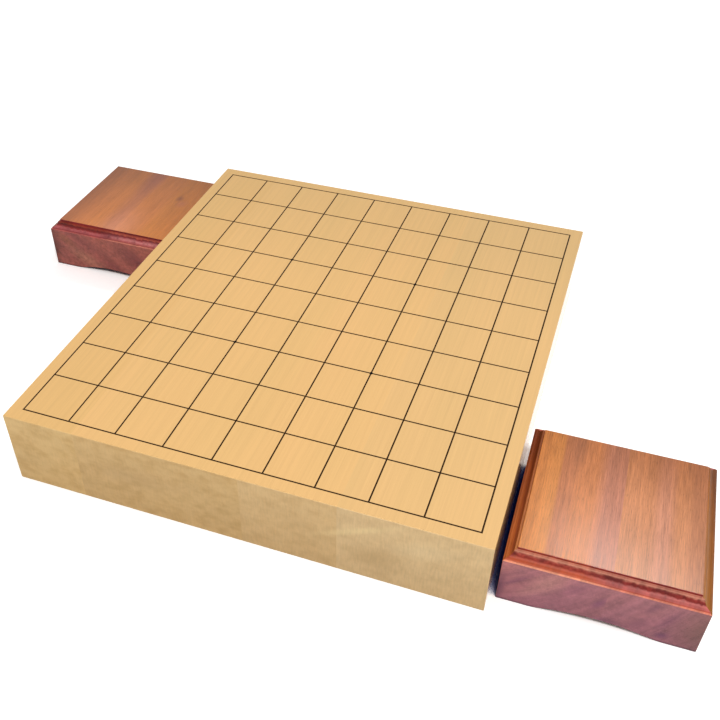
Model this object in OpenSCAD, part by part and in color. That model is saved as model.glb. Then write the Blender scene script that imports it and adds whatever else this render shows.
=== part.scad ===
// Tabletop shogi board with two piece stands, laid out for play.
// The board is glued up from staves side by side and carries a lacquered field of squares.
// Each stand is glued up from two staves, has a moulded rim round a flat top and is arched below.
// X runs side to side, Y from the near player to the far one, Z up.
// The origin is the middle of the board's underside.

/* [Playing field] */
// Width of one square, side to side
square_w = 35; // [30:0.5:40]
// Depth of one square, from player to player
square_d = 38.3; // [33:0.1:44]
// Bare wood beside the outermost lengthwise lines
side_margin = 10; // [6:0.5:20]
// Bare wood beyond the outermost crosswise lines
end_margin = 10; // [6:0.5:20]
// Width of a lacquer line
line_w = 1.1; // [0.6:0.1:1.6]
// Height of the first coat, the lengthwise lines, above the wood
line_rise = 0.1; // [0.05:0.01:0.3]
// Height that each later coat stands above the coat that it crosses
coat_step = 0.06; // [0.03:0.01:0.1]
// Depth that the lacquer is bedded into the wood
line_bed = 0.05; // [0.03:0.01:0.1]
// Diameter of a star point
star_d = 2.6; // [1.6:0.1:4]

/* [Board] */
// Thickness of the board
board_h = 60; // [30:1:90]
// Chamfer on the board's outer edges
board_ease = 0.6; // [0.3:0.1:2]
// Width of the first stave from the left
stave_1_w = 53; // [40:1:70]
// Width of the second stave
stave_2_w = 119; // [90:1:140]
// Width of the third stave, the fourth takes what is left
stave_3_w = 66; // [50:1:85]

/* [Piece stands] */
// Width of a stand, side to side
stand_w = 120.5; // [100:0.5:140]
// Depth of a stand, near to far
stand_d = 120.5; // [100:0.5:140]
// Height of a stand's flat top
stand_h = 44.5; // [40:0.5:60]
// Width of the stave nearer to the board
inner_stave_w = 63.5; // [45:0.5:75]
// Chamfer on a stand's edges
stand_ease = 0.4; // [0.2:0.1:0.8]

/* [Stand moulding] */
// Width of the flat lip on top of the upright faces
lip_w = 1; // [0.9:0.1:3]
// Height of the small step from the lip up to the cove
lip_step = 1.2; // [0.5:0.1:3]
// Radius of the hollow cove
cove_r = 4.4; // [2:0.1:8]
// Width of the flat fillet between the cove and the top
fillet_w = 1.6; // [0.5:0.1:4]
// Height of the flat top above the fillet
top_step = 1.9; // [0.9:0.1:4]

/* [Stand arch] */
// Width of the arch between the two feet
arch_span = 82; // [60:1:90]
// Height of the arch at its crown
arch_rise = 5; // [4.5:0.1:6.5]
// Radius that rounds each foot into the arch
foot_round_r = 30; // [15:1:60]

/* [Layout] */
// Gap from the board's right side to the near corner of the right stand
right_gap = 4.6; // [4:0.1:30]
// Distance of that corner behind the board's near side
right_setback = 12.7; // [0:0.1:60]
// Small turn of the right stand, anticlockwise from above, in degrees
right_turn = 0.75; // [0:0.05:1]
// Gap from the board's left side to the left stand
left_gap = 4; // [1:0.1:30]
// Distance of the left stand from the board's far side, below zero where it stands out beyond
left_setback = -0.6; // [-20:0.1:60]

/* [Hidden] */

// A shogi field always has nine squares each way
squares = 9;
// The star points sit on the corners of the middle nine squares
star_lines = [3, 6];

field_w = squares * square_w;
field_d = squares * square_d;
board_w = field_w + 2 * side_margin;
board_d = field_d + 2 * end_margin;
stave_4_w = board_w - stave_1_w - stave_2_w - stave_3_w;

// Heights on the stand's moulding, from the top down, and how far the flat top is set in
fillet_z = stand_h - top_step;
cove_z = fillet_z - cove_r;
lip_z = cove_z - lip_step;
top_inset = lip_w + cove_r + fillet_w;

// The arch is one wide arc that runs smoothly into a rounding at each foot.
// The two arcs touch where the line between their centres crosses them.
arch_half = arch_span / 2;
crown_r = (arch_half ^ 2 + arch_rise ^ 2) / (2 * arch_rise) - foot_round_r;
crown_share = crown_r / (crown_r + foot_round_r);
meet_x = arch_half * crown_share;
meet_z = arch_rise - crown_r + (crown_r + foot_round_r - arch_rise) * crown_share;

// Length by which a cutting shape passes the face that it cuts
past = 1;
// Facets on arcs, which the exact model turns back into true arcs
$fn = 96;

pale_wood = [0.90, 0.74, 0.50];
pale_wood_deep = [0.87, 0.71, 0.47];
black_lacquer = [0.10, 0.09, 0.08];
orange_wood = [0.76, 0.49, 0.32];
red_wood = [0.66, 0.38, 0.29];

// A rectangle with chamfered corners, from the origin
module eased_rectangle(w, d, ease) {
    polygon([[ease, 0], [w - ease, 0], [w, ease], [w, d - ease],
             [w - ease, d], [ease, d], [0, d - ease], [0, ease]]);
}

// Shapes drawn flat are stood up to face the near player, or to face the right
module face_near(depth) {
    translate([0, depth, 0]) rotate([90, 0, 0]) linear_extrude(depth) children();
}
module face_right(width) {
    rotate([90, 0, 90]) linear_extrude(width) children();
}

// A block with every edge chamfered
module eased_block(w, d, h, ease) {
    intersection() {
        linear_extrude(h) eased_rectangle(w, d, ease);
        face_near(d) eased_rectangle(w, h, ease);
        face_right(w) eased_rectangle(d, h, ease);
    }
}

// The lengthwise lines, grown upwards by a height above the wood
module lengthwise_bars(rise) {
    for (i = [0 : squares])
        translate([-field_w / 2 + i * square_w - line_w / 2, -field_d / 2 - line_w / 2, board_h - line_bed])
            cube([line_w, field_d + line_w, line_bed + rise]);
}

// The crosswise lines, in the same way
module crosswise_bars(rise) {
    for (i = [0 : squares])
        translate([-field_w / 2 - line_w / 2, -field_d / 2 + i * square_d - line_w / 2, board_h - line_bed])
            cube([field_w + line_w, line_w, line_bed + rise]);
}

// The star points, in the same way
module star_discs(rise) {
    for (i = star_lines, j = star_lines)
        translate([-field_w / 2 + i * square_w, -field_d / 2 + j * square_d, board_h - line_bed])
            cylinder(d = star_d, h = line_bed + rise);
}

// One stave of the board, cut out of the whole eased board between two glue joints
module board_stave(start, width, tone) {
    color(tone) difference() {
        intersection() {
            translate([-board_w / 2, -board_d / 2, 0]) eased_block(board_w, board_d, board_h, board_ease);
            translate([-board_w / 2 + start, -board_d / 2 - past, -past])
                cube([width, board_d + 2 * past, board_h + 2 * past]);
        }
        lengthwise_bars(past);
        crosswise_bars(past);
        star_discs(past);
    }
}

module board_stave_1() { board_stave(0, stave_1_w, pale_wood); }
module board_stave_2() { board_stave(stave_1_w, stave_2_w, pale_wood_deep); }
module board_stave_3() { board_stave(stave_1_w + stave_2_w, stave_3_w, pale_wood); }
module board_stave_4() { board_stave(board_w - stave_4_w, stave_4_w, pale_wood_deep); }

// The lengthwise lines are drawn first and lie whole in the wood
module lengthwise_lines() {
    color(black_lacquer) lengthwise_bars(line_rise);
}

// The crosswise lines are the second coat and pass over the first
module crosswise_lines() {
    color(black_lacquer) difference() {
        crosswise_bars(line_rise + coat_step);
        lengthwise_bars(line_rise);
    }
}

// The star points are dabbed on last, over a crossing of both
module star_points() {
    color(black_lacquer) difference() {
        star_discs(line_rise + 2 * coat_step);
        lengthwise_bars(line_rise);
        crosswise_bars(line_rise + coat_step);
    }
}

// Outline of a stand seen square on: upright face, lip, step, cove, fillet, step and flat top
module moulded_outline(w) {
    half = [[stand_ease, 0], [0, stand_ease], [0, lip_z - stand_ease], [stand_ease, lip_z],
            [lip_w, lip_z], [lip_w, fillet_z], [top_inset, fillet_z],
            [top_inset, stand_h - stand_ease], [top_inset + stand_ease, stand_h]];
    difference() {
        polygon(concat(half, [for (i = [len(half) - 1 : -1 : 0]) [w - half[i].x, half[i].y]]));
        for (x = [lip_w, w - lip_w])
            translate([x, fillet_z]) circle(r = cove_r);
    }
}

// The hollow under a stand, from the ground up to the arch
module arch_opening() {
    intersection() {
        translate([0, arch_rise - crown_r]) circle(r = crown_r);
        translate([-meet_x, -past]) square([2 * meet_x, arch_rise + 2 * past]);
    }
    for (side = [0, 1])
        mirror([side, 0]) difference() {
            translate([meet_x, -past]) square([arch_half - meet_x, meet_z + past]);
            translate([arch_half, foot_round_r]) circle(r = foot_round_r);
        }
}

// A whole stand, from its near left corner, with the arch running from near to far
module stand_block() {
    intersection() {
        linear_extrude(stand_h) eased_rectangle(stand_w, stand_d, stand_ease);
        face_near(stand_d) difference() {
            moulded_outline(stand_w);
            translate([stand_w / 2, 0]) arch_opening();
        }
        face_right(stand_w) moulded_outline(stand_d);
    }
}

// One stave of a stand, cut out of the whole between two upright planes
module stand_stave(start, width) {
    intersection() {
        stand_block();
        translate([start, -past, -past]) cube([width, stand_d + 2 * past, stand_h + 2 * past]);
    }
}

// Where the stands stand beside the board
module at_right() {
    translate([board_w / 2 + right_gap, -board_d / 2 + right_setback, 0])
        rotate([0, 0, right_turn]) children();
}
module at_left() {
    translate([-board_w / 2 - left_gap - stand_w, board_d / 2 - left_setback - stand_d, 0]) children();
}

module right_stand_inner_stave() { color(orange_wood) at_right() stand_stave(0, inner_stave_w); }
module right_stand_outer_stave() {
    color(red_wood) at_right() stand_stave(inner_stave_w, stand_w - inner_stave_w);
}
module left_stand_inner_stave() {
    color(orange_wood) at_left() stand_stave(stand_w - inner_stave_w, inner_stave_w);
}
module left_stand_outer_stave() { color(red_wood) at_left() stand_stave(0, stand_w - inner_stave_w); }

board_stave_1();
board_stave_2();
board_stave_3();
board_stave_4();
lengthwise_lines();
crosswise_lines();
star_points();
right_stand_inner_stave();
right_stand_outer_stave();
left_stand_inner_stave();
left_stand_outer_stave();
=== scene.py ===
# %% [markdown]
# # A tabletop shogi board with its two piece stands
# This lesson dresses a finished construction model. The construction already holds every piece at
# its real size, so the first step is to load it, and nothing here moves or resizes it. New pieces
# are modelled over the plain ones where a softer edge or a rounder form shows, and everything gets
# its wood or its lacquer. All lengths are in metres, and the values are written in millimetres
# times mm, so that they read like a joiner's drawing.

# %% Load the construction
from math import cos, hypot, pi, radians, sin, sqrt
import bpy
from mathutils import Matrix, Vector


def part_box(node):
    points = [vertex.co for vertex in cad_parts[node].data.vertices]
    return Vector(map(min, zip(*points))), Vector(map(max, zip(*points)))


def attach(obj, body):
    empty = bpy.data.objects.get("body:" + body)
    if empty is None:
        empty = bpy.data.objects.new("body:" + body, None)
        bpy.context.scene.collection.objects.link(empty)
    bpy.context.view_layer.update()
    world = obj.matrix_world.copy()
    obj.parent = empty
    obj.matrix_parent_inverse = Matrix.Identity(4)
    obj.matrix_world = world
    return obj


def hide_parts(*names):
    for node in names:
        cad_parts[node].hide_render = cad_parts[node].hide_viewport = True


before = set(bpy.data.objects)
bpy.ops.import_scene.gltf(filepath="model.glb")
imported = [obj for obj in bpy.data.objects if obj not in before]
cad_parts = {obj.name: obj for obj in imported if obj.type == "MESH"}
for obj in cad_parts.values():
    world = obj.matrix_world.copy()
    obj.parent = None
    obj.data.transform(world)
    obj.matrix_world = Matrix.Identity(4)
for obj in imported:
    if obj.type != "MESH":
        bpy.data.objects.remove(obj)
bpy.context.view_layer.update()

from types import SimpleNamespace

import bmesh
import bpy
from mathutils import Matrix, Vector

mm = 0.001
scene = bpy.context.scene

# %% [markdown]
# ## The camera
# The camera comes first, because every later choice is judged through it. The nine by nine field
# of squares is a perfect measuring grid, and the photograph's camera was solved from its
# crossings: where it stood, how far it looked down, its lens and how far the picture was cropped
# off centre. The crop is what the two shift values hold. Depth of field stays off, because the
# whole object is sharp.

# %% Set up the camera
camera_place = (190.12 * mm, -530.44 * mm, 483.61 * mm)
camera_heading = radians(19.9873)
camera_look_down = radians(40.7657)
camera_roll = radians(-0.1774)
# the lens and the film are in millimetres, and the shifts in widths of the picture
camera_lens = 45.918
film_width = 36.0
shift_across = 0.0482
shift_up = 0.01887
nearest_seen = 10 * mm

turned = (Matrix.Rotation(camera_heading, 3, "Z")
          @ Matrix.Rotation(pi / 2 - camera_look_down, 3, "X")
          @ Matrix.Rotation(camera_roll, 3, "Z"))
bpy.ops.object.camera_add(location=camera_place, rotation=turned.to_euler())
camera = bpy.context.object
camera.name = "camera"
camera.data.lens = camera_lens
camera.data.sensor_width = film_width
camera.data.shift_x = shift_across
camera.data.shift_y = shift_up
camera.data.clip_start = nearest_seen
scene.camera = camera
print("camera looks down by", round(camera_look_down * 180 / pi, 1), "degrees")

# %% [markdown]
# ## Colours and shader nodes
# A colour is written as it is read off a picture, from 0 to 255, and turned into the linear light
# that the renderer works in. Most of the helpers below add one node, and take either a number or
# another node's output, so that a material reads like a short recipe and not like wiring.

# %% Helpers for materials
def paint(red, green, blue):
    """A picture colour, from 0 to 255, in linear light"""
    linear = []
    for part in (red, green, blue):
        share = part / 255
        linear.append(share / 12.92 if share <= 0.04045 else ((share + 0.055) / 1.055) ** 2.4)
    return (*linear, 1.0)


def add_node(tree, kind, **settings):
    made = tree.nodes.new(kind)
    for name, value in settings.items():
        setattr(made, name, value)
    return made


def feed(tree, socket, value):
    """Link another node's output to a socket, or set the socket to a plain value"""
    if isinstance(value, bpy.types.NodeSocket):
        tree.links.new(value, socket)
    else:
        socket.default_value = value


def maths(tree, operation, *values):
    made = add_node(tree, "ShaderNodeMath", operation=operation)
    for socket, value in zip(made.inputs, values):
        feed(tree, socket, value)
    return made.outputs[0]


def times(tree, value, factor):
    return maths(tree, "MULTIPLY", value, factor)


def length_of(tree, vector):
    made = add_node(tree, "ShaderNodeVectorMath", operation="LENGTH")
    feed(tree, made.inputs[0], vector)
    return made.outputs["Value"]


def blend(tree, share, first, second, mode="MIX"):
    """Mix two colours, all of the second where share is 1"""
    made = add_node(tree, "ShaderNodeMix", data_type="RGBA", blend_type=mode)
    feed(tree, made.inputs[0], share)
    feed(tree, made.inputs[6], first)
    feed(tree, made.inputs[7], second)
    return made.outputs[2]


def ease(tree, value, start, end):
    """Rises smoothly from 0 at start to 1 at end"""
    made = add_node(tree, "ShaderNodeMapRange", interpolation_type="SMOOTHSTEP")
    feed(tree, made.inputs["Value"], value)
    made.inputs["From Min"].default_value = start
    made.inputs["From Max"].default_value = end
    return made.outputs["Result"]


def new_finish(name):
    """A new material, with its tree, its main shader and the place inside the piece"""
    made = bpy.data.materials.new(name)
    made.use_nodes = True
    tree = made.node_tree
    place = add_node(tree, "ShaderNodeTexCoord").outputs["Object"]
    return made, tree, tree.nodes["Principled BSDF"], place


def give_finish(piece, finish):
    """Take off every material and put on this one"""
    piece.data.materials.clear()
    piece.data.materials.append(finish)
    print(piece.name, "has", finish.name)


print("the board's colour in linear light is", [round(part, 3) for part in paint(232, 189, 128)])

# %% [markdown]
# ## Studio light and a white floor
# The photograph is a shop picture: soft light from all round, with the near side the brighter, and
# a background that has gone white. An even sky light and a soft lamp over the near side do the
# work, and together they light a level face so that a colour comes out about as it is written. A
# long narrow lamp behind gives the varnish its sheen.
#
# The floor could be made white with stronger lamps, but that would bleach the wood too. Instead
# it glows a little, and only for rays from the camera or off a shiny surface, so that its bright
# parts reach white and the object's own shadow stays. The glow grows outwards, because the lamp
# falls off there.

# %% Lamps and sky
sky_strength = 0.55


def seen_directly(tree):
    """1 for rays from the camera, off gloss or through glass, and 0 for the rest"""
    path = add_node(tree, "ShaderNodeLightPath")
    shiny = maths(tree, "MAXIMUM", path.outputs["Is Glossy Ray"], path.outputs["Is Transmission Ray"])
    return maths(tree, "MAXIMUM", path.outputs["Is Camera Ray"], shiny)


def soft_lamp(name, place, width, depth, watts):
    """A flat lamp that looks at the middle of the table"""
    turn = Vector(place).to_track_quat("Z", "Y").to_euler()
    bpy.ops.object.light_add(type="AREA", location=place, rotation=turn)
    lamp = bpy.context.object
    lamp.name = name
    lamp.data.shape = "RECTANGLE"
    lamp.data.size = width
    lamp.data.size_y = depth
    lamp.data.energy = watts


soft_lamp("near_lamp", place=(0.42, -0.85, 1.50), width=0.3, depth=0.3, watts=14.2)
soft_lamp("sheen_lamp", place=(0.63, 1.70, 2.41), width=0.9, depth=0.2, watts=12.0)

world = bpy.data.worlds.new("studio")
scene.world = world
world.use_nodes = True
sky = world.node_tree
backdrop = sky.nodes["Background"]
backdrop.inputs["Color"].default_value = (1.0, 1.0, 1.0, 1.0)
extra = times(sky, seen_directly(sky), 1.0 - sky_strength)
feed(sky, backdrop.inputs["Strength"], maths(sky, "ADD", extra, sky_strength))
print("sky", sky_strength, "and 2 lamps")

# %% [markdown]
# The gap between the board and the right stand is almost black in the photograph. Ambient
# occlusion tells how open a place is, from 1 on a bare floor down to 0 where it is walled in. Only
# where walls stand close on both sides is painted shade put on the floor, a deep blue for the rays
# that see it, so it is pale again when the stand is drawn away.

# %% The floor
floor_size = 16.0
floor_tone = (0.45, 0.45, 0.45, 1.0)
seen_floor_tone = (1.30, 1.30, 1.30, 1.0)
# painted shade: the deep blue that the floor takes where it is walled in
slot_painted_shade = (0.0, 0.015, 0.16, 1.0)
# how far off a wall still counts, and the openness at which the floor takes all or none of the painted
# shade
wall_reach = 60 * mm
dark_openness = 0.10
pale_openness = 0.26
far_glow = 0.75
glow_grows_from = 0.2
glow_grows_to = 1.5

bpy.ops.mesh.primitive_plane_add(size=floor_size, location=(0, 0, 0))
floor = bpy.context.object
floor.name = "floor"
floor_paint, tree, shader, spot = new_finish("white_floor")
tree.nodes.remove(shader)
matt = add_node(tree, "ShaderNodeBsdfDiffuse")
seen = seen_directly(tree)
openness = add_node(tree, "ShaderNodeAmbientOcclusion", samples=16)
openness.inputs["Distance"].default_value = wall_reach
in_the_open = ease(tree, openness.outputs["AO"], dark_openness, pale_openness)
seen_tone = blend(tree, in_the_open, slot_painted_shade, seen_floor_tone)
feed(tree, matt.inputs["Color"], blend(tree, seen, floor_tone, seen_tone))
glow = add_node(tree, "ShaderNodeEmission")
outwards = ease(tree, length_of(tree, spot), glow_grows_from, glow_grows_to)
feed(tree, glow.inputs["Strength"], times(tree, seen, times(tree, outwards, far_glow)))
both = add_node(tree, "ShaderNodeAddShader")
feed(tree, both.inputs[0], matt.outputs[0])
feed(tree, both.inputs[1], glow.outputs[0])
feed(tree, tree.nodes["Material Output"].inputs["Surface"], both.outputs[0])
give_finish(floor, floor_paint)
print("floor", floor_size, "metres square")

# %% [markdown]
# ## Working by hand, in code
# Blender's operators act on whatever is selected, and a freshly loaded construction is all
# selected. So each step starts by choosing one object alone. In edit mode the faces to work on are
# then found by a question about their middle and their normal, such as which ones look up.

# %% Helpers for modelling
# edges get rounded where faces meet at more than this angle
rounded_from = radians(30)
# a length that counts as nothing
hair = 0.1 * mm


def choose(*objects):
    """Select these objects and nothing else, the first one active"""
    bpy.ops.object.select_all(action="DESELECT")
    for each in objects:
        each.select_set(True)
    bpy.context.view_layer.objects.active = objects[0]


def pick_faces(question):
    """In edit mode, select the faces for which question(middle, normal) is true"""
    bpy.ops.mesh.select_mode(type="FACE")
    bpy.ops.mesh.select_all(action="DESELECT")
    mesh = bmesh.from_edit_mesh(bpy.context.edit_object.data)
    for face in mesh.faces:
        if question(face.calc_center_median(), face.normal):
            face.select = True
    bmesh.update_edit_mesh(bpy.context.edit_object.data)


def apply_place(piece):
    """Move the place, turn and scale of an object into its mesh"""
    choose(piece)
    bpy.ops.object.transform_apply(location=True, rotation=True, scale=True)


def round_edges(piece, radius, segments):
    """Round every edge where two faces meet at a clear angle"""
    choose(piece)
    bpy.ops.object.modifier_add(type="BEVEL")
    bevel = piece.modifiers[-1]
    bevel.width = radius
    bevel.segments = segments
    bevel.limit_method = "ANGLE"
    bevel.angle_limit = rounded_from
    bpy.ops.object.modifier_apply(modifier=bevel.name)


def saw(piece, place, direction, keep_beyond=False):
    """Saw through a piece square to a direction, keep one side of it, and close the cut"""
    choose(piece)
    bpy.ops.object.mode_set(mode="EDIT")
    bpy.ops.mesh.select_all(action="SELECT")
    bpy.ops.mesh.bisect(plane_co=place, plane_no=direction, use_fill=True,
                        clear_outer=not keep_beyond, clear_inner=keep_beyond)
    bpy.ops.mesh.select_all(action="SELECT")
    bpy.ops.mesh.normals_make_consistent(inside=False)
    bpy.ops.object.mode_set(mode="OBJECT")


def keep_between(piece, low, high):
    """Saw a block square across X at low and at high, and keep what is between. A cut that would
    only touch an end of the block isn't made."""
    left_end = min(corner[0] for corner in piece.bound_box)
    right_end = max(corner[0] for corner in piece.bound_box)
    for place, outwards in ((low, -1), (high, 1)):
        if left_end + hair < place < right_end - hair:
            saw(piece, (place, 0, 0), (outwards, 0, 0))


print("tools are ready")

# %% Helpers for whole pieces
def copy_piece(piece, name):
    """A copy with a mesh of its own"""
    choose(piece)
    bpy.ops.object.duplicate(linked=False)
    made = bpy.context.object
    made.name = name
    made.data.name = name
    return made


def smooth(piece):
    """Shade the roundings softly and keep the flats flat"""
    choose(piece)
    bpy.ops.object.shade_smooth_by_angle(angle=radians(35))
    bpy.ops.object.modifier_add(type="WEIGHTED_NORMAL")
    piece.modifiers[-1].keep_sharp = True
    bpy.ops.object.modifier_apply(modifier=piece.modifiers[-1].name)


def box_of(*nodes):
    """The lowest and highest corner of several construction pieces together"""
    boxes = [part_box(name) for name in nodes]
    low = Vector([min(box[0][axis] for box in boxes) for axis in range(3)])
    high = Vector([max(box[1][axis] for box in boxes) for axis in range(3)])
    return low, high


print("helpers are ready")

# %% [markdown]
# ## The board
# A playing board this thick is glued up from staves side by side, with the grain running from
# player to player. The faces are planed dead flat and only the outer edges are eased. So the whole
# block is made once from a cube with its edges rounded, and each stave is a copy that is sawn out
# of it. Rounding before sawing keeps the glue joints sharp and tight, as they are on a real board.

# %% The whole board block
stave_names = ["board_stave_1", "board_stave_2", "board_stave_3", "board_stave_4"]
board_low, board_high = box_of(*stave_names)
board_size = board_high - board_low
board_edge = 0.6 * mm

bpy.ops.mesh.primitive_cube_add(size=1, location=(board_low + board_high) / 2, scale=board_size)
board_block = bpy.context.object
apply_place(board_block)
round_edges(board_block, board_edge, segments=4)
print("board", [round(side / mm, 1) for side in board_size], "mm")

# %% Saw it into staves
staves = []
for name in stave_names:
    low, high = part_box(name)
    stave = copy_piece(board_block, name + "_wood")
    keep_between(stave, low[0], high[0])
    smooth(stave)
    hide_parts(name)
    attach(stave, "board")
    staves.append(stave)
    print(stave.name, "is", round((high[0] - low[0]) / mm, 1), "mm wide")
bpy.data.objects.remove(board_block)

# %% [markdown]
# ## The lacquer lines and star points
# The field is drawn with thick lacquer, which stands above the wood as a low rounded ridge. A
# flat painted stripe would miss that relief, so each line is a real bar: a cylinder pressed flat,
# cut a little below its middle and bedded that deep into the wood. One bar is modelled and copied,
# first lengthwise and then crosswise and slightly higher, because the second coat passes over the
# first. The four star points are flattened balls, made in the same way.

# %% One bar of lacquer
line_width = 1.1 * mm
line_bed = 0.05 * mm
squares = 9
field_low, field_high = box_of("lengthwise_lines", "crosswise_lines")
first_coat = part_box("lengthwise_lines")[1][2] - board_high.z
second_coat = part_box("crosswise_lines")[1][2] - board_high.z
star_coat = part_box("star_points")[1][2] - board_high.z
square_width = (field_high.x - field_low.x - line_width) / squares
square_depth = (field_high.y - field_low.y - line_width) / squares


def lacquer_bar(length, rise):
    """A flattened bar along Y with its middle on the origin, cut a little below the wood"""
    bpy.ops.mesh.primitive_cylinder_add(vertices=24, radius=0.5, depth=1, rotation=(pi / 2, 0, 0))
    bar = bpy.context.object
    apply_place(bar)
    bar.scale = (line_width, length, 2 * rise)
    apply_place(bar)
    round_edges(bar, radius=0.3 * rise, segments=2)
    saw(bar, (0, 0, -line_bed), (0, 0, 1), keep_beyond=True)
    return bar


print("squares", round(square_width / mm, 2), "by", round(square_depth / mm, 2), "mm")

# %% Copy the bars over the field
def join_as(pieces, name):
    choose(*pieces)
    bpy.ops.object.join()
    joined = bpy.context.object
    joined.name = name
    joined.data.name = name
    return joined


def line_set(name, bar, count, spacing, axis):
    """Copies of a bar side by side along one axis, joined into one piece"""
    bars = []
    for index in range(count):
        line = copy_piece(bar, "line")
        line.location[axis] = (index - (count - 1) / 2) * spacing
        line.location.z = board_high.z
        apply_place(line)
        bars.append(line)
    return join_as(bars, name)


lengthwise_bar = lacquer_bar(field_high.y - field_low.y, first_coat)
lengthwise = line_set("lengthwise_lacquer", lengthwise_bar, squares + 1, square_width, 0)
crosswise_bar = lacquer_bar(field_high.x - field_low.x, second_coat)
crosswise_bar.rotation_euler.z = pi / 2
apply_place(crosswise_bar)
crosswise = line_set("crosswise_lacquer", crosswise_bar, squares + 1, square_depth, 1)
bpy.data.objects.remove(lengthwise_bar)
bpy.data.objects.remove(crosswise_bar)
print("lines", squares + 1, "each way")

# %% The star points
star_width = 2.6 * mm
# in squares from the middle of the field
star_steps = 1.5

bpy.ops.mesh.primitive_uv_sphere_add(segments=32, ring_count=16, radius=0.5,
                                     scale=(star_width, star_width, 2 * star_coat))
one_star = bpy.context.object
apply_place(one_star)
saw(one_star, (0, 0, -line_bed), (0, 0, 1), keep_beyond=True)
stars = []
for x_side in (-star_steps, star_steps):
    for y_side in (-star_steps, star_steps):
        star = copy_piece(one_star, "star")
        star.location = (x_side * square_width, y_side * square_depth, board_high.z)
        apply_place(star)
        stars.append(star)
star_points = join_as(stars, "star_lacquer")
bpy.data.objects.remove(one_star)

for piece, name in ((lengthwise, "lengthwise_lines"), (crosswise, "crosswise_lines"),
                    (star_points, "star_points")):
    smooth(piece)
    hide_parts(name)
    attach(piece, "board")
    print(piece.name, "has", len(piece.data.vertices), "points")

# %% [markdown]
# ## A piece stand
# A stand is a square block with a moulding run round its top edge: a narrow lip, a small step, a
# hollow cove, a flat fillet and another step up to the raised top. The block could be cut from a
# profile with booleans, but a joiner's moulding is easy to build upwards: inset the top face for
# each flat, extrude it for each step, and for the cove do both at once in small steps along a
# quarter circle. The corners then mitre by themselves. Both stands are alike, so the block is
# modelled once about the origin.

# %% The block and its moulding
stand_size = 120.5 * mm
lip_height = 37.0 * mm
lip_width = 1.0 * mm
lip_step = 1.2 * mm
cove_radius = 4.4 * mm
cove_steps = 14
fillet_width = 1.6 * mm
top_step = 1.9 * mm
fillet_height = lip_height + lip_step + cove_radius
stand_height = fillet_height + top_step


def looks_up(middle, normal):
    return normal.z > 0.9


def extrude_up(distance, narrowing=1.0):
    """Extrude the selected face upwards, and draw it in towards the middle"""
    bpy.ops.mesh.extrude_region_move(TRANSFORM_OT_translate={"value": (0, 0, distance)})
    bpy.ops.transform.resize(value=(narrowing, narrowing, 1), center_override=(0, 0, 0))


bpy.ops.mesh.primitive_cube_add(size=1, location=(0, 0, lip_height / 2),
                                scale=(stand_size, stand_size, lip_height))
stand_block = bpy.context.object
apply_place(stand_block)
bpy.ops.object.mode_set(mode="EDIT")
pick_faces(looks_up)
bpy.ops.mesh.inset(thickness=lip_width)
extrude_up(lip_step)
half = stand_size / 2 - lip_width
done_rise = 0.0
done_half = half
for step in range(1, cove_steps + 1):
    angle = step / cove_steps * pi / 2
    rise = cove_radius * (1 - cos(angle))
    new_half = half - cove_radius * sin(angle)
    extrude_up(rise - done_rise, new_half / done_half)
    done_rise = rise
    done_half = new_half
bpy.ops.mesh.inset(thickness=fillet_width)
extrude_up(top_step)
bpy.ops.object.mode_set(mode="OBJECT")
print("stand", round(stand_height / mm, 1), "mm high")

# %% [markdown]
# ## The arch below
# Each stand is hollowed a little underneath, so that it stands on two feet and casts a soft
# shadow between them. The arch is one wide arc that runs smoothly into a rounding at each foot.
# The underside is cut into narrow strips, and each cut is then lifted to the height that the two
# arcs give there. That keeps the block one clean solid.

# %% Lift the underside
arch_half = 41.0 * mm
arch_rise = 5.0 * mm
foot_radius = 30.0 * mm
strip_count = 48
strip_top = 8.0 * mm
stand_edge = 0.35 * mm
crown_radius = (arch_half ** 2 + arch_rise ** 2) / (2 * arch_rise) - foot_radius
meeting = arch_half * crown_radius / (crown_radius + foot_radius)


def arch_height(x):
    """Height of the arch at a distance from its middle"""
    reach = abs(x)
    if reach >= arch_half:
        return 0.0
    if reach > meeting:
        return foot_radius - sqrt(foot_radius ** 2 - (arch_half - reach) ** 2)
    return arch_rise - crown_radius + sqrt(crown_radius ** 2 - reach ** 2)


choose(stand_block)
bpy.ops.object.mode_set(mode="EDIT")
bpy.ops.mesh.select_all(action="SELECT")
bpy.ops.mesh.bisect(plane_co=(0, 0, strip_top), plane_no=(0, 0, 1))
for strip in range(strip_count + 1):
    pick_faces(lambda middle, normal: middle.z < strip_top and abs(normal.x) < 0.5)
    cut = -arch_half + 2 * arch_half * strip / strip_count
    bpy.ops.mesh.bisect(plane_co=(cut, 0, 0), plane_no=(1, 0, 0))
mesh = bmesh.from_edit_mesh(stand_block.data)
for point in mesh.verts:
    if point.co.z < hair:
        point.co.z = arch_height(point.co.x)
bmesh.update_edit_mesh(stand_block.data)
bpy.ops.object.mode_set(mode="OBJECT")
round_edges(stand_block, stand_edge, segments=3)
print("arch", round(arch_height(0) / mm, 2), "mm high at its crown")

# %% [markdown]
# ## Two stands of two staves
# A stand is glued from two staves too, the one nearer to the board a little the wider. Each stave
# is a copy of the block, sawn at the joint and set where the construction has its stand. The near
# player's stand is turned by less than a degree, as it was put down.

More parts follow.
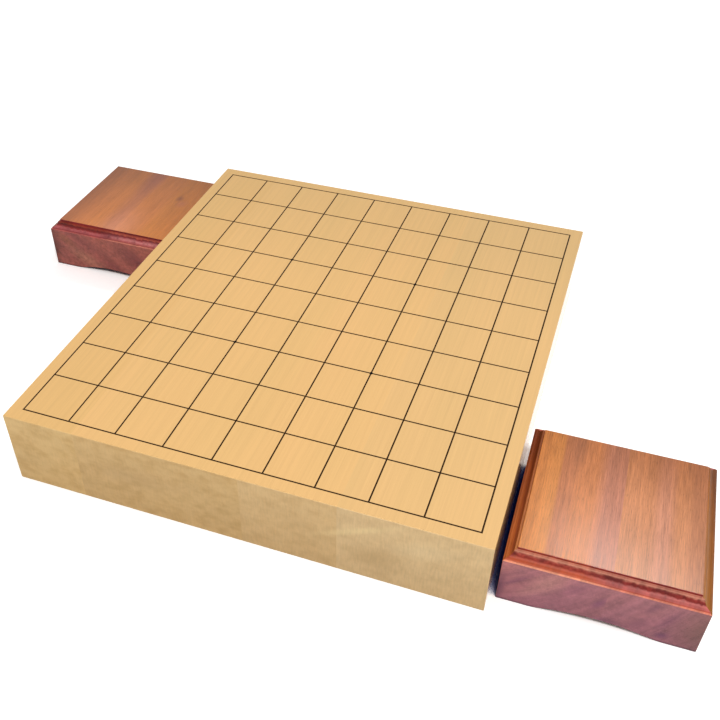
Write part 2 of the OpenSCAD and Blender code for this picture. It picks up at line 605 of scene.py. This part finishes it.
# %% Set the stands in place
right_turn = radians(0.75)
inner_width = 63.5 * mm
stand_pieces = {}
stand_places = {}
for side, turn in (("right", right_turn), ("left", 0.0)):
    inner, outer = side + "_stand_inner_stave", side + "_stand_outer_stave"
    low, high = box_of(inner, outer)
    middle = (low + high) / 2
    stand_places[side] = (middle, turn)
    inner_end = -1 if side == "right" else 1
    joint = inner_end * (stand_size / 2 - inner_width)
    for name, end in ((inner, inner_end), (outer, -inner_end)):
        stave = copy_piece(stand_block, name + "_wood")
        keep_between(stave, *sorted((joint, end * stand_size)))
        stave.location = (middle.x, middle.y, 0)
        stave.rotation_euler.z = turn
        apply_place(stave)
        smooth(stave)
        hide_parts(name)
        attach(stave, side + "_stand")
        stand_pieces[name] = stave
        print(stave.name, "has", len(stave.data.polygons), "faces")
bpy.data.objects.remove(stand_block)

# %% [markdown]
# ## What wood looks like
# Wood is a solid pattern and not a picture on a surface. Every ring, streak and fibre runs through
# the block, so the top, the sides and the ends agree at the edges. The pattern is therefore built
# from the place inside the block: the distance from the heart of the tree gives the rings, a
# noise that is stretched along the grain gives the fibres, and the direction of the surface tells
# the end grain, which is duller, from the rest.

# %% Helpers for patterns
def part_of(tree, vector, axis):
    made = add_node(tree, "ShaderNodeSeparateXYZ")
    feed(tree, made.inputs[0], vector)
    return made.outputs[axis]


def vector_of(tree, x, y, z):
    made = add_node(tree, "ShaderNodeCombineXYZ")
    for socket, value in zip(made.inputs, (x, y, z)):
        feed(tree, socket, value)
    return made.outputs[0]


def seen_from(tree, place, origin, rotation=(0, 0, 0), scale=(1, 1, 1)):
    """A place measured from another origin, in axes that are turned and scaled"""
    made = add_node(tree, "ShaderNodeMapping", vector_type="TEXTURE")
    feed(tree, made.inputs["Vector"], place)
    made.inputs["Location"].default_value = origin
    made.inputs["Rotation"].default_value = rotation
    made.inputs["Scale"].default_value = scale
    return made.outputs[0]


def noise(tree, place, size, seed, detail=2.0, output=0):
    """Soft random clouds about 0.5, whose size along each axis is given in metres"""
    sized = add_node(tree, "ShaderNodeMapping")
    feed(tree, sized.inputs["Vector"], place)
    sized.inputs["Scale"].default_value = [1 / length for length in size]
    made = add_node(tree, "ShaderNodeTexNoise", noise_dimensions="4D")
    feed(tree, made.inputs["Vector"], sized.outputs[0])
    made.inputs["W"].default_value = seed
    made.inputs["Scale"].default_value = 1.0
    made.inputs["Detail"].default_value = detail
    return made.outputs[output]


def add_up(tree, *values):
    total = values[0]
    for value in values[1:]:
        total = maths(tree, "ADD", total, value)
    return total


def swing(tree, value, strength):
    """Turns a noise about 0.5 into a change about 0"""
    return times(tree, maths(tree, "SUBTRACT", value, 0.5), 2 * strength)


def dimmed(tree, colour, level):
    """A colour made lighter or darker by a level about 1"""
    made = add_node(tree, "ShaderNodeVectorMath", operation="SCALE")
    feed(tree, made.inputs[0], colour)
    feed(tree, made.inputs["Scale"], level)
    return made.outputs[0]


def tinted(tree, colour, share, tint):
    """A colour multiplied by a tint, in full where share is 1"""
    return blend(tree, share, colour, (*tint, 1.0), "MULTIPLY")


print("pattern helpers are ready")

# %% Helpers for wood
def wandering(tree, place, reach, size, seed):
    """A place that strays sideways, slowly along the grain, as real grain does"""
    cloud = noise(tree, place, size, seed, output=1)
    centred = add_node(tree, "ShaderNodeVectorMath", operation="SUBTRACT")
    feed(tree, centred.inputs[0], cloud)
    centred.inputs[1].default_value = (0.5, 0.5, 0.5)
    moved = add_node(tree, "ShaderNodeVectorMath", operation="MULTIPLY_ADD")
    feed(tree, moved.inputs[0], centred.outputs[0])
    moved.inputs[1].default_value = (2 * reach, 0, 2 * reach)
    feed(tree, moved.inputs[2], place)
    return moved.outputs[0]


def from_heart(tree, place, heart):
    """Distance from the heart of the tree, which lies at (x, z)"""
    centred = seen_from(tree, place, (heart[0], 0, heart[1]))
    x, z = part_of(tree, centred, 0), part_of(tree, centred, 2)
    return maths(tree, "SQRT", add_up(tree, times(tree, x, x), times(tree, z, z)))


def patch(tree, place, middle, slope, length, thickness, depth):
    """1 in the middle of a soft streak that rises to the right by slope, and 0 round it"""
    inside = seen_from(tree, place, middle, (0, -slope, 0), (length, depth, thickness))
    return ease(tree, length_of(tree, inside), 1.0, 0.0)


def add_end_patches(tree, place, colour, patches, near_face, depth):
    """Soft marks on the near face, each with its tone, its strength, its middle across and up, its
    rise to the right in degrees, and half its length and half its thickness in millimetres"""
    for tone, strength, spot, rise, length, thickness in patches:
        middle = (spot[0] * mm, near_face, spot[1] * mm)
        share = patch(tree, place, middle, radians(rise), length * mm, thickness * mm, depth)
        colour = blend(tree, times(tree, share, strength), colour, paint(*tone))
    return colour


def facing(tree, axis):
    """1 where the surface looks along an axis, 0 where it doesn't, and smooth between"""
    normal = add_node(tree, "ShaderNodeTexCoord").outputs["Normal"]
    return ease(tree, maths(tree, "ABSOLUTE", part_of(tree, normal, axis)), 0.45, 0.85)


def towards_ground(tree, height, top):
    """1 at the ground and 0 at the top"""
    return maths(tree, "SUBTRACT", 1.0, maths(tree, "DIVIDE", height, top))


print("wood helpers are ready")

# %% [markdown]
# Every finish ends with a slight relief. A bump only changes how the surface takes the light, and
# that is enough for fibres a few hundredths of a millimetre deep.

# %% The surface of a finish
def set_surface(tree, shader, colour, rough, gloss, height, depth, strength):
    feed(tree, shader.inputs["Base Color"], colour)
    feed(tree, shader.inputs["Roughness"], rough)
    feed(tree, shader.inputs["Specular IOR Level"], gloss)
    relief = add_node(tree, "ShaderNodeBump")
    feed(tree, relief.inputs["Height"], height)
    feed(tree, relief.inputs["Distance"], depth)
    feed(tree, relief.inputs["Strength"], strength)
    feed(tree, shader.inputs["Normal"], relief.outputs[0])


print("set_surface is ready")

# %% [markdown]
# ## The board's pale wood
# The board is a fine even softwood, warm yellow and hardly figured, planed and waxed. Seen close,
# it has faint growth rings, long fibres and slow clouds. Its ends are the same wood cut across:
# slightly greyer, with fine upright rays, a mottle of browner spots, and soft marks in the wax.
# The top is painted a little darker towards the far side, and the ends towards their foot: both are
# painted shade.

# %% Colours and patterns of the board
pale_face = paint(232, 188, 121)
pale_face_warm = paint(232, 183, 119)
pale_end = paint(226, 188, 129)
pale_end_brown = paint(212, 171, 110)
pale_end_grey = paint(232, 202, 156)
# painted shade: the top is tinted darker towards its far side, and the ends towards their foot
far_tint = (0.90, 0.92, 0.93)
foot_tint = (0.86, 0.83, 0.79)
ring_gap = 2.3 * mm
# sizes of the patterns from side to side, along the grain and up
stray_size = (60 * mm, 420 * mm, 60 * mm)
board_fibre = (0.7 * mm, 45 * mm, 0.7 * mm)
board_cloud = (30 * mm, 130 * mm, 18 * mm)
board_mottle = (9 * mm, 40 * mm, 6 * mm)
board_ray = (1.3 * mm, 60 * mm, 8 * mm)
# marks in the wax on the near face, and how far they go into the wood
wax_marks = [((246, 216, 158), 0.65, (81, 41), 26, 46, 4.5),
             ((244, 216, 166), 0.4, (128, 40), 15, 30, 12),
             ((198, 163, 112), 0.6, (95, 22), 10, 28, 15),
             ((206, 170, 122), 0.3, (-70, 34), 5, 60, 14)]
wax_mark_depth = 40 * mm


def growth_rings(tree, distance, seed):
    """1 at the dark edge of each ring, which darkens slowly and ends sharply"""
    uneven = noise(tree, vector_of(tree, distance, 0, 0), (9 * mm, 1, 1), seed)
    count = add_up(tree, maths(tree, "DIVIDE", distance, ring_gap), times(tree, uneven, 3.0))
    ring = maths(tree, "FRACT", count)
    return times(tree, ease(tree, ring, 0.2, 0.92), ease(tree, ring, 1.0, 0.93))


def board_face(tree, place, fibre, cloud, rings, tint):
    """The top and the long sides"""
    level = add_up(tree, 1.0, swing(tree, fibre, 0.09), swing(tree, cloud, 0.06),
                   times(tree, rings, -0.025))
    face = dimmed(tree, blend(tree, cloud, pale_face, pale_face_warm), level)
    # painted shade towards the far side
    far_share = ease(tree, part_of(tree, place, 1), 0.0, board_high.y)
    return tinted(tree, tinted(tree, face, 1.0, tint), far_share, far_tint)


def board_end(tree, place, strayed, cloud, tint, greyness, seed):
    """The near and the far face, across the grain"""
    mottle = noise(tree, place, board_mottle, seed, 5.0)
    ray = noise(tree, strayed, board_ray, seed + 1.0, 4.0)
    level = add_up(tree, 1.0, swing(tree, mottle, -0.06), swing(tree, ray, 0.10 + 0.20 * greyness),
                   swing(tree, cloud, 0.10))
    end = blend(tree, ease(tree, mottle, 0.35, 0.75), pale_end, pale_end_brown)
    end = blend(tree, greyness, end, pale_end_grey)
    end = add_end_patches(tree, place, end, wax_marks, board_low.y, wax_mark_depth)
    end = tinted(tree, dimmed(tree, end, level), 1.0, tint)
    # painted shade towards the foot
    return tinted(tree, end, towards_ground(tree, part_of(tree, place, 2), board_high.z), foot_tint)


print("growth rings", ring_gap / mm, "mm apart")

# %% [markdown]
# Every stave comes from another place in the tree, so each has its own heart and its own tints.
# The side faces get a clear coat as well: a waxed side that is seen almost edge on mirrors the
# floor beside it, so the board's right side comes out nearly white, as in the photograph.

# %% Board wood
def board_wood(name, heart, face_tint, end_tint, greyness, seed):
    made, tree, shader, place = new_finish(name)
    strayed = wandering(tree, place, 1.6 * mm, stray_size, seed)
    rings = growth_rings(tree, from_heart(tree, strayed, heart), seed + 1.0)
    fibre = noise(tree, place, board_fibre, seed + 2.0, 3.0)
    cloud = noise(tree, place, board_cloud, seed + 3.0)
    face = board_face(tree, place, fibre, cloud, rings, face_tint)
    end = board_end(tree, place, strayed, cloud, end_tint, greyness, seed + 4.0)
    end_share = facing(tree, 1)
    rough = add_up(tree, 0.47, swing(tree, fibre, 0.05), times(tree, end_share, 0.08))
    set_surface(tree, shader, blend(tree, end_share, face, end), rough, gloss=0.3,
                height=fibre, depth=0.05 * mm, strength=0.35)
    feed(tree, shader.inputs["Coat Weight"], facing(tree, 0))
    shader.inputs["Coat Roughness"].default_value = 0.1
    shader.inputs["Coat IOR"].default_value = 1.3
    return made


# for each stave: its heart across and up, tints of its top and its ends, and how grey the ends are
stave_looks = [((90 * mm, 560 * mm), (0.96, 0.955, 0.93), (1.15, 1.17, 1.17), 0.0),
               ((120 * mm, 570 * mm), (0.985, 0.985, 0.985), (1.05, 1.05, 1.05), 0.05),
               ((250 * mm, 520 * mm), (0.985, 0.98, 0.985), (1.06, 1.05, 1.04), 0.3),
               ((-120 * mm, 480 * mm), (0.95, 0.965, 1.0), (1.09, 1.10, 1.12), 0.5)]
for index, stave in enumerate(staves):
    wood = board_wood("board_wood_" + str(index + 1), *stave_looks[index], seed=10.0 * index)
    give_finish(stave, wood)

# %% [markdown]
# ## Black lacquer
# Lacquer is very dark but never dead black, and it levels itself, so it is glossy with the
# faintest unevenness. A bump of a few hundredths of a millimetre is enough. The brown of the wood
# shines through a thin coat at its edges, so the lines get a browner black than the star points,
# which are thick dabs.

# %% Lacquer
lacquer_cloud = (2.5 * mm, 2.5 * mm, 2.5 * mm)


def lacquer(name, thick_tone, thin_tone):
    made, tree, shader, place = new_finish(name)
    flow = noise(tree, place, lacquer_cloud, 3.0, 3.0)
    rough = add_up(tree, 0.40, swing(tree, flow, 0.1))
    set_surface(tree, shader, blend(tree, flow, thick_tone, thin_tone), rough, gloss=0.05,
                height=flow, depth=0.03 * mm, strength=0.4)
    return made


line_lacquer = lacquer("line_lacquer", paint(42, 25, 8), paint(56, 35, 14))
dab_lacquer = lacquer("dab_lacquer", paint(10, 6, 3), paint(16, 10, 5))
give_finish(lengthwise, line_lacquer)
give_finish(crosswise, line_lacquer)
give_finish(star_points, dab_lacquer)

# %% [markdown]
# ## The stands' red wood
# The stands are a reddish hardwood with layers of gold, orange and plum. The layers lie aslant in
# the block: on top they show as bands along the grain, and on the near face as diagonals. So the
# colours are given where each layer comes up through the top, and a ramp along the distance from
# the heart carries them through the whole stave.

# %% Tones and layers
stand_tones = {
    "amber": (203, 126, 61), "gold": (209, 133, 66), "orange": (203, 125, 72),
    "light": (198, 127, 80), "brown": (178, 111, 70), "plum": (191, 118, 75),
    "grey_plum": (188, 119, 90), "rose": (195, 127, 93), "russet": (189, 113, 56),
    "shade": (156, 90, 50), "mauve": (180, 108, 66), "ochre": (187, 113, 49),
    "tan": (180, 107, 43),
}
top_mark_depth = 25 * mm


def colour_ramp(tree, value, stops):
    """Colours along a value, from a list of (value, colour)"""
    stops = sorted(stops)
    lowest, highest = stops[0][0], stops[-1][0]
    spread = add_node(tree, "ShaderNodeMapRange")
    feed(tree, spread.inputs["Value"], value)
    spread.inputs["From Min"].default_value = lowest
    spread.inputs["From Max"].default_value = highest
    ramp = add_node(tree, "ShaderNodeValToRGB")
    feed(tree, ramp.inputs[0], spread.outputs["Result"])
    marks = ramp.color_ramp.elements
    while len(marks) < len(stops):
        marks.new(0.5)
    for mark, (reach, colour) in zip(marks, stops):
        mark.position = (reach - lowest) / (highest - lowest)
        mark.color = colour
    return ramp.outputs[0]


def layer_ramp(tree, distance, heart, layers):
    """The layers' tones along the distance from the heart. A layer is given by its tone and the
    places where it begins and ends on top."""
    stops = []
    for tone, *places in layers:
        for across in places:
            reach = hypot(across * mm - heart[0], stand_height - heart[1])
            stops.append((reach, paint(*stand_tones[tone])))
    return colour_ramp(tree, distance, stops)


def add_top_patches(tree, place, colour, patches):
    """Soft marks on top, each with its tone, strength, middle, half width and half depth"""
    for tone, strength, spot, width, depth in patches:
        middle = (spot[0] * mm, spot[1] * mm, stand_height)
        share = patch(tree, place, middle, 0.0, width * mm, top_mark_depth, depth * mm)
        colour = blend(tree, times(tree, share, strength), colour, paint(*tone))
    return colour


print("stand tones", sorted(stand_tones))

# %% [markdown]
# One grain runs through all of a stand: streaks that follow the layers, fibres and pores along
# them, slow clouds over them, and on the left stand a knot that pushes them aside. It is worked
# out in the stand's own directions, because the right stand is turned.

# %% The grain of a stand
# sizes of the patterns from side to side, along the grain and up
stand_stray = (25 * mm, 160 * mm, 25 * mm)
stand_fibre = (0.5 * mm, 14 * mm, 0.5 * mm)
stand_cloud = (14 * mm, 50 * mm, 14 * mm)
stand_pore = (0.45 * mm, 4 * mm, 0.45 * mm)
stand_mottle = (3.5 * mm, 12 * mm, 3.5 * mm)
streak_width = 2.6 * mm
streak_share_along = 0.02
knot_push = 2 * mm


def stand_grain(tree, place, block):
    seed = block.seed
    middle, turn = stand_places[block.side]
    local = seen_from(tree, place, (middle.x, middle.y, 0), (0, 0, turn))
    across, along, height = [part_of(tree, local, axis) for axis in range(3)]
    strayed = wandering(tree, local, 1.5 * mm, stand_stray, seed)
    distance = from_heart(tree, strayed, block.heart)
    for spot in block.knots:
        knot = (spot[0] * mm, spot[1] * mm, stand_height)
        push = patch(tree, local, knot, 0.0, 9 * mm, top_mark_depth, 15 * mm)
        distance = maths(tree, "ADD", distance, times(tree, push, knot_push))
    sheet = vector_of(tree, distance, times(tree, along, streak_share_along), 0)
    pores = noise(tree, local, stand_pore, seed + 4.0, 1.0)
    return SimpleNamespace(
        local=local, across=across, along=along, height=height, distance=distance,
        streak=noise(tree, sheet, (streak_width, streak_width, 1), seed + 1.0, 5.0),
        fibre=noise(tree, local, stand_fibre, seed + 2.0, 3.0),
        cloud=noise(tree, local, stand_cloud, seed + 3.0, 3.0),
        pore=ease(tree, pores, 0.56, 0.70),
        mottle=noise(tree, local, stand_mottle, seed + 6.0, 4.0))


print("grain with fibres", stand_fibre[1] / mm, "mm long")

# %% [markdown]
# From near to far the top and the sides carry painted light and shade, brighter near and darker
# far. The ends drink more varnish: they turn plum and their layers are faint. Close to the table
# they are darkest, which is painted shade, with a painted contact shadow along the foot.

# %% Faces and ends of a stand
half_stand = stand_size / 2
end_mark_depth = 30 * mm
end_tone_share = 0.8
# the lowest band of the ends gets a painted contact shadow
foot_line_height = 2.6 * mm
foot_line_painted_shade = (0.40, 0.36, 0.44)


def stand_face(tree, grain, block, layer):
    figure = block.figure
    level = add_up(tree, 1.0, swing(tree, grain.streak, 0.40 * figure),
                   swing(tree, grain.fibre, 0.60 * figure), swing(tree, grain.cloud, 0.20),
                   times(tree, grain.pore, -0.20 * figure))
    # painted light near and painted shade far
    near_share = times(tree, maths(tree, "MINIMUM", grain.along, 0.0), -1 / half_stand)
    far_share = times(tree, maths(tree, "MAXIMUM", grain.along, 0.0), 1 / half_stand)
    face = add_top_patches(tree, grain.local, layer, block.top_patches)
    face = tinted(tree, dimmed(tree, face, level), near_share, block.near_tint)
    return tinted(tree, face, far_share, block.far_tint)


def stand_end(tree, grain, block, layer, patches):
    level = add_up(tree, 1.0, swing(tree, grain.streak, 0.45), swing(tree, grain.fibre, 0.50),
                   swing(tree, grain.cloud, 0.35), swing(tree, grain.mottle, block.mottling),
                   times(tree, grain.pore, -0.15))
    end = blend(tree, end_tone_share, layer, paint(*block.end_tone))
    end = add_end_patches(tree, grain.local, end, patches, -half_stand, end_mark_depth)
    # painted shade: darker towards the floor, and a painted contact shadow along the foot
    low_share = towards_ground(tree, grain.height, stand_height)
    end = tinted(tree, dimmed(tree, end, level), low_share, block.foot_tint)
    return tinted(tree, end, ease(tree, grain.height, foot_line_height, 0.0), foot_line_painted_shade)


print("ends are darkest below", round(foot_line_height / mm, 1), "mm")

# %% [markdown]
# In the moulding the colour is deepest, most of all where it cuts across the grain. There its tones
# go up it with ragged edges, because the varnish ran into the open grain, and they change over from
# left to right. Its dark hollow and the dark step under the top are partly the deeper end grain and
# partly painted shade. Along the grain the layers still show, under one tint for each height, which
# is painted shade with a change of hue.

# %% The moulding's colours
# places up the moulding: lip, step, foot of the cove, its bend, its hollow, its top, fillet, top step
moulding_heights = [lip_height + up * mm for up in (0, 0.9, 1.3, 1.9, 2.6, 3.9, 5.3, 6.1)]
# places on its sides: the low cove, the high cove and the fillet
side_heights = [lip_height + up * mm for up in (1.3, 2.8, 5.0)]
# between these heights the ragged edges grow to full size, at the foot and at the top of the cove
ragged_from = (lip_height + lip_step, lip_height + 2.2 * mm)
ragged_up_to = (fillet_height - 0.2 * mm, fillet_height - 1.0 * mm)
tooth_size = (3.2 * mm, 8 * mm, 3 * mm)
# the sides' far painted shade grows from the first place along the grain to the second
side_shade_grows = (-45 * mm, 50 * mm)


def moulding_ends(tree, grain, block):
    height, cloud = grain.height, grain.cloud
    teeth = noise(tree, grain.local, tooth_size, block.seed + 5.0, 4.0)
    stray = add_up(tree, swing(tree, teeth, 1.6 * mm), swing(tree, cloud, 1.0 * mm))
    in_cove = times(tree, ease(tree, height, *ragged_from), ease(tree, height, *ragged_up_to))
    ragged = add_up(tree, height, times(tree, stray, in_cove))
    ramps = []
    for tones in (block.moulding_left, block.moulding_right):
        stops = [(up, paint(*tone)) for up, tone in zip(moulding_heights, tones)]
        ramps.append(colour_ramp(tree, ragged, stops))
    colour = blend(tree, ease(tree, grain.across, *block.moulding_change), *ramps)
    colour = add_end_patches(tree, grain.local, colour, block.blotches, -half_stand,
                             end_mark_depth)
    # the teeth are strongest in the cove
    tooth_share = maths(tree, "ADD", 0.4, times(tree, in_cove, 0.6))
    level = add_up(tree, 1.0, times(tree, swing(tree, teeth, 0.8), tooth_share),
                   swing(tree, grain.streak, 0.5), swing(tree, cloud, 0.4))
    return dimmed(tree, colour, level)


def moulding_sides(tree, grain, face, side_shade_tints, far_tint):
    """Painted shade tints go up the sides, and the far painted shade comes over all at the far end"""
    stops = [(up, (*tint, 1.0)) for up, tint in zip(side_heights, side_shade_tints)]
    side_tint = colour_ramp(tree, grain.height, stops)
    going_far = ease(tree, grain.along, *side_shade_grows)
    return tinted(tree, blend(tree, 1.0, face, side_tint, "MULTIPLY"), going_far, far_tint)


print("moulding from", round(lip_height / mm, 1), "to", round(stand_height / mm, 1), "mm up")

# %% [markdown]
# The parts meet by where a point lies. The moulding's colour sets in just below the lip and stops
# just below the flat top. At the corners it changes over on the mitre, where a point is as far from
# the middle along the grain as across it. The varnish is satin, and duller in the moulding.

# %% The whole finish of a stave
moulding_sets_in = (lip_height - 0.35 * mm, lip_height - 0.1 * mm)
moulding_stops = (stand_height - 0.1 * mm, stand_height - 0.4 * mm)
mitre_width = 0.2 * mm


def dress_stave(name, block, layers, patches, side_shade_tints, far_tint):
    """Make one stave's wood and put it on"""
    made, tree, shader, place = new_finish(name.replace("stave", "wood"))
    grain = stand_grain(tree, place, block)
    height, fibre, cloud = grain.height, grain.fibre, grain.cloud
    # the fibres blur the edges of the layers
    blurred = maths(tree, "ADD", grain.distance, swing(tree, fibre, 1.6 * mm))
    layer = layer_ramp(tree, blurred, block.heart, layers)
    face = stand_face(tree, grain, block, layer)
    end = stand_end(tree, grain, block, layer, patches)
    ends = moulding_ends(tree, grain, block)
    sides = moulding_sides(tree, grain, face, side_shade_tints, far_tint)

    in_moulding = times(tree, ease(tree, height, *moulding_sets_in), ease(tree, height, *moulding_stops))
    beyond = maths(tree, "SUBTRACT", maths(tree, "ABSOLUTE", grain.along),
                   maths(tree, "ABSOLUTE", grain.across))
    moulding = blend(tree, ease(tree, beyond, -mitre_width, mitre_width), sides, ends)
    plain = blend(tree, facing(tree, 1), face, end)
    rough = add_up(tree, 0.19, swing(tree, fibre, 0.06), swing(tree, cloud, 0.04),
                   times(tree, in_moulding, 0.28))
    set_surface(tree, shader, blend(tree, in_moulding, plain, moulding), rough, gloss=0.25,
                height=fibre, depth=0.02 * mm, strength=0.4)
    give_finish(stand_pieces[name], made)


print("a mitre", mitre_width / mm, "mm to each side")

# %% [markdown]
# ## Where the layers lie
# Each stave's layers are listed from left to right: the tone, and where on top it begins and ends,
# in millimetres from the middle of the stand. Layers listed beyond the stave don't reach the top:
# they come out lower down, on the near face. The heart of the right stand's tree lies outside the
# block, up to the left, so the layers rise to the right on its near face, and the further right
# the steeper. The patches are small clouds in the end grain of the near face, and a few on top.
# The dark ones at the left edges of the near faces are painted shade, and the right stand's one at
# its right end and its wide one on top towards the far right are partly its own brown and partly
# painted shade.

# %% The right stand
dusky = (140, 78, 102)
purple = (120, 62, 98)
pale = (204, 140, 130)
right_block = SimpleNamespace(
    side="right", seed=51.0, heart=(-100 * mm, 98 * mm), knots=[], figure=1.0, mottling=0.3,
    end_tone=(182, 113, 127), near_tint=(1.0, 1.0, 1.0), far_tint=(0.78, 0.72, 0.60),
    foot_tint=(0.77, 0.74, 0.83),
    # the second top patch, towards the far right, is partly the wood's own brown and partly painted
    # shade
    top_patches=[((150, 92, 64), 0.6, (-28, 46), 9, 40), ((162, 90, 45), 0.5, (32, 62), 56, 56)],
    # tones up the moulding: the dark hollow and the dark top step are partly painted shade
    moulding_left=[(230, 152, 120), (199, 98, 69), (173, 76, 44), (178, 70, 39),
                   (137, 39, 24), (166, 70, 58), (212, 143, 116), (152, 54, 32)],
    moulding_right=[(214, 128, 104), (182, 74, 55), (170, 86, 80), (188, 92, 84),
                    (118, 23, 14), (141, 48, 41), (207, 136, 112), (137, 41, 32)],
    moulding_change=(-14 * mm, 6 * mm),
    blotches=[
        ((92, 26, 26), 0.75, (2, 40.6), 0, 20, 2.2), ((100, 32, 28), 0.6, (-38, 40.8), 0, 6, 2.2),
        ((92, 28, 26), 0.7, (-58, 40.6), 0, 9, 3.0), ((96, 28, 28), 0.55, (31, 41.0), 0, 13, 1.6),
        ((128, 44, 40), 0.5, (10, 38.9), 0, 20, 0.7)])
dress_stave(
    "right_stand_inner_stave", right_block,
    layers=[("amber", -60, -50), ("gold", -43, -38.8), ("plum", -36.6, -31), ("orange", -25, -15),
            ("grey_plum", -8, 4), ("plum", 12), ("orange", 22), ("plum", 32)],
    patches=[
        # the first patch below, dark and low at the left edge, is painted shade
        ((104, 44, 80), 0.85, (-61, 8), 82, 26, 7), (dusky, 0.5, (-52, 20), 44, 15, 3),
        (dusky, 0.35, (-47, 24), 44, 15, 3), (pale, 0.75, (-32, 26), 50, 24, 11),
        (pale, 0.4, (-43, 13), 40, 14, 6), (dusky, 0.35, (-15, 27), 42, 13, 5),
        (purple, 0.6, (0, 21), 58, 11, 4.5), (purple, 0.45, (7, 6), 5, 14, 5)],
    side_shade_tints=[(0.68, 0.48, 0.42), (0.46, 0.30, 0.48), (0.77, 0.71, 0.84)],
    far_tint=(0.56, 0.43, 0.36))
dress_stave(
    "right_stand_outer_stave", right_block,
    layers=[("rose", 0), ("light", 4, 20), ("rose", 26, 31), ("light", 36, 41), ("brown", 46, 58),
            ("plum", 68), ("brown", 80)],
    patches=[
        (purple, 0.45, (7, 6), 5, 14, 5), (purple, 0.35, (30, 30), 58, 11, 4),
        (dusky, 0.5, (40, 22), 65, 17, 5), (purple, 0.7, (39, 7), 30, 7, 5),
        # of the two patches below, the second, at the right end, is partly the wood's own brown and
        # partly painted shade
        (dusky, 0.35, (24, 12), 50, 15, 6), ((110, 74, 52), 0.65, (60, 20), 80, 42, 24)],
    side_shade_tints=[(0.54, 0.48, 0.08), (0.76, 0.78, 0.46), (0.90, 0.97, 0.68)],
    far_tint=(0.90, 0.80, 0.52))

# %% [markdown]
# The far player's stand is a quieter block: an even orange brown with one mauve streak, which is
# broad at the far end and runs out towards the near one, and a small knot that pushes the grain
# aside. The heart of its tree lies below to the left, so its layers fall to the right on the near
# face, and its ends and moulding are a deeper crimson.

# %% The left stand
wine = (112, 44, 48)
left_knot = (34, 16)
left_block = SimpleNamespace(
    side="left", seed=73.0, heart=(-171 * mm, -225 * mm), knots=[left_knot], figure=0.55,
    mottling=0.6, end_tone=(168, 86, 81), near_tint=(1.28, 1.29, 1.30), far_tint=(0.68, 0.66, 0.60),
    foot_tint=(1.0, 1.0, 1.0),
    top_patches=[((160, 92, 72), 0.75, (-5, 55), 15, 62), ((194, 126, 96), 0.55, (3, -48), 26, 50),
                 ((168, 98, 62), 0.7, (39, 8), 8, 10), ((118, 62, 44), 0.65, left_knot, 5.2, 7.5)],
    # tones up the moulding: the dark hollow and the dark top step are partly painted shade
    moulding_left=[(176, 90, 84), (143, 52, 54), (160, 76, 78), (175, 87, 86),
                   (134, 41, 38), (98, 18, 16), (140, 52, 32), (130, 34, 37)],
    moulding_right=[(200, 122, 104), (154, 68, 64), (166, 84, 82), (196, 119, 117),
                    (182, 101, 100), (118, 31, 35), (177, 84, 64), (106, 20, 25)],
    moulding_change=(-10 * mm, 4 * mm),
    blotches=[
        ((96, 22, 30), 0.6, (2, 40.2), 0, 20, 2.4), ((104, 30, 40), 0.5, (-2, 38.6), 0, 7, 1.4)])
left_sides = {"side_shade_tints": [(0.50, 0.36, 0.24), (0.46, 0.34, 0.22), (0.55, 0.42, 0.30)],
              "far_tint": (0.65, 0.60, 0.65)}
dress_stave(
    "left_stand_outer_stave", left_block, **left_sides,
    layers=[("shade", -60, -52), ("russet", -22, -16), ("mauve", -6, 0)],
    patches=[
        # the first patch below, dark at the left edge, is painted shade
        ((94, 38, 22), 0.9, (-61, 16), 85, 34, 10), ((140, 86, 50), 0.5, (-46, 28), -30, 16, 7),
        ((192, 122, 98), 0.8, (-28, 12), -25, 26, 10), (wine, 0.6, (2, 8), -35, 20, 9),
        (wine, 0.4, (-36, 33), -30, 34, 5)])
dress_stave(
    "left_stand_inner_stave", left_block, **left_sides,
    layers=[("mauve", -6, -1), ("russet", 5, 22), ("ochre", 30), ("tan", 44, 60)],
    patches=[(wine, 0.6, (2, 8), -35, 20, 9), (wine, 0.7, (28, 18), -40, 34, 16)])

# %% [markdown]
# ## Last things
# The picture is shown as plain light, with no film look.

# %% Colour management
scene.view_settings.view_transform = "Standard"
